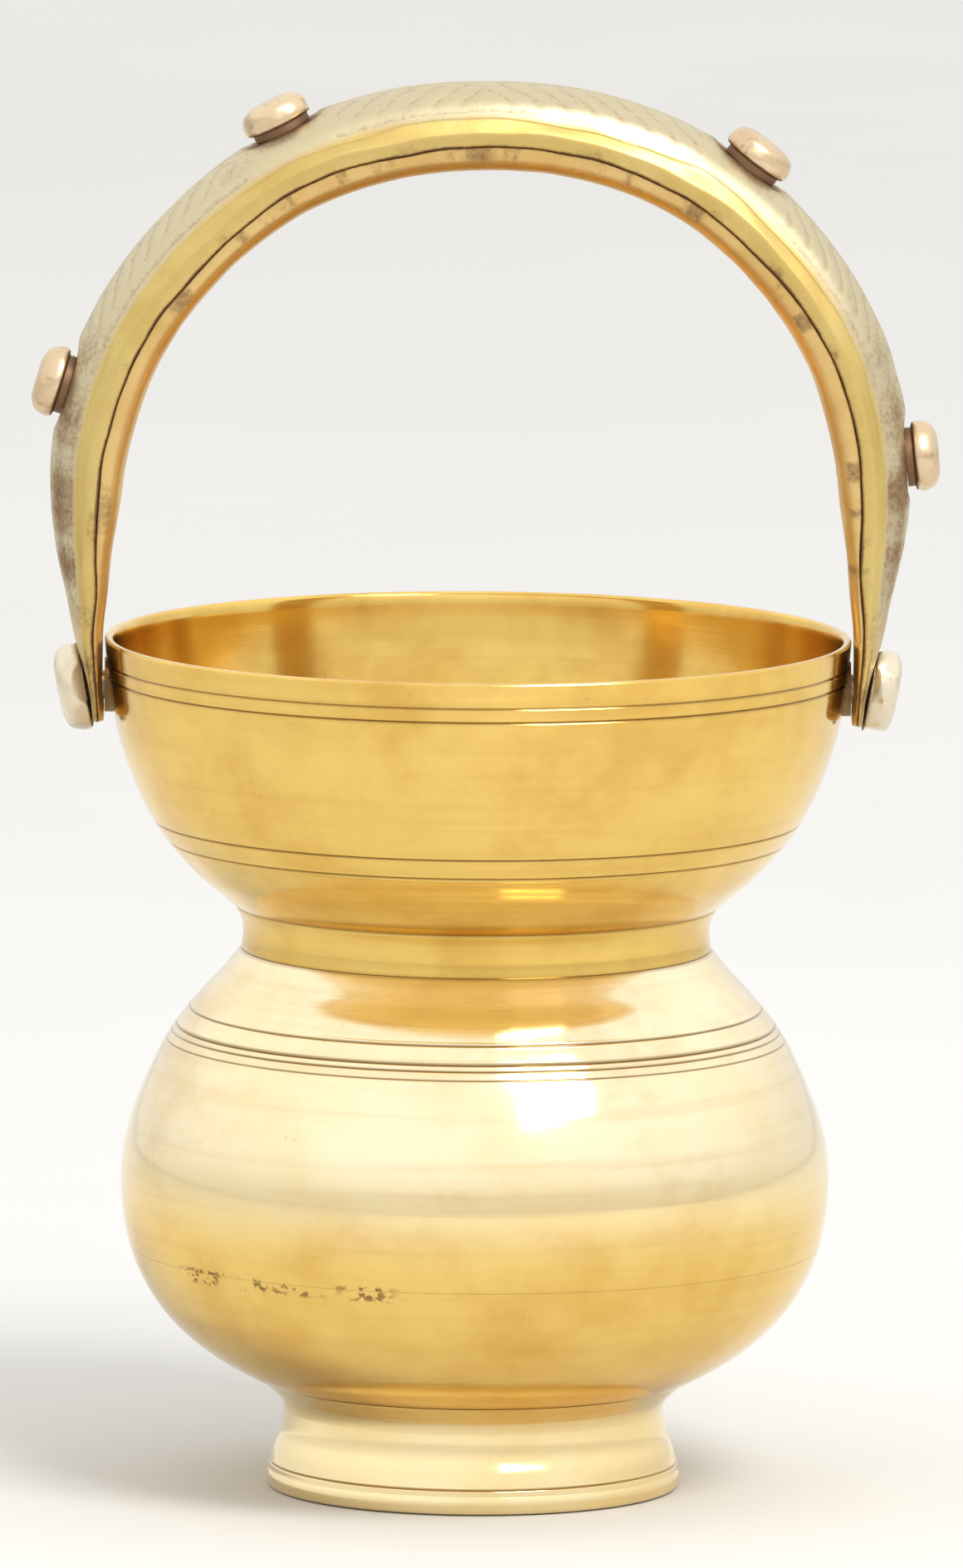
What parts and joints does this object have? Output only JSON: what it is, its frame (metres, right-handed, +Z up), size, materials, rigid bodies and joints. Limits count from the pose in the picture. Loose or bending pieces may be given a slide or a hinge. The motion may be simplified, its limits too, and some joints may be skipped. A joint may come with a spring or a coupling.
{
  "type": "footed vessel with bail handle",
  "caption": "Footed brass vessel with an open upper bowl over a round pot, and a riveted strap bail handle that swings on rivets at the rim.",
  "frame": {"origin": "centre of the ring that the foot stands on, at the base of the box", "axes": "+Z up; +X along the handle's pivot axis, to the right seen from the front; -Y is the front"},
  "size_m": [0.1861, 0.1528, 0.2896],
  "materials": {
    "bowl_brass": "polished, lathe-turned",
    "collar_brass": "polished, lathe-turned",
    "pot_upper_brass": "polished, lathe-turned",
    "pot_lower_brass": "polished, lathe-turned, with a few casting pits",
    "foot_brass": "polished, lathe-turned",
    "strap_outer_brass": "satin, hand-chased, with dark wax in the recesses",
    "strap_inner_brass": "satin",
    "stud_metal": "hammered, pale",
    "pivot_metal": "hammered, pale",
    "saddle_brass": "dull, tarnished",
    "rove_brass": "dull"
  },
  "bodies": {
    "vessel": {"upper_bowl": "bowl_brass", "neck_collar": "collar_brass", "pot_upper_shell": "pot_upper_brass", "pot_lower_shell": "pot_lower_brass", "foot_ring": "foot_brass", "saddle_washer_left": "saddle_brass", "saddle_washer_right": "saddle_brass", "rove_left": "rove_brass", "rove_right": "rove_brass"},
    "handle": {"handle_outer_strap": "strap_outer_brass", "handle_inner_strap": "strap_inner_brass", "pivot_rivet_left": "pivot_metal", "pivot_rivet_right": "pivot_metal", "stud_rivet_left_low": "stud_metal", "stud_rivet_left_high": "stud_metal", "stud_rivet_right_high": "stud_metal", "stud_rivet_right_low": "stud_metal"}
  },
  "joints": [
    {"name": "handle_swing", "type": "hinge", "parent": "vessel", "child": "handle", "pos_m": [0, 0, 0.165], "axis": [1, 0, 0], "range_deg": [-110, 110]}
  ]
}
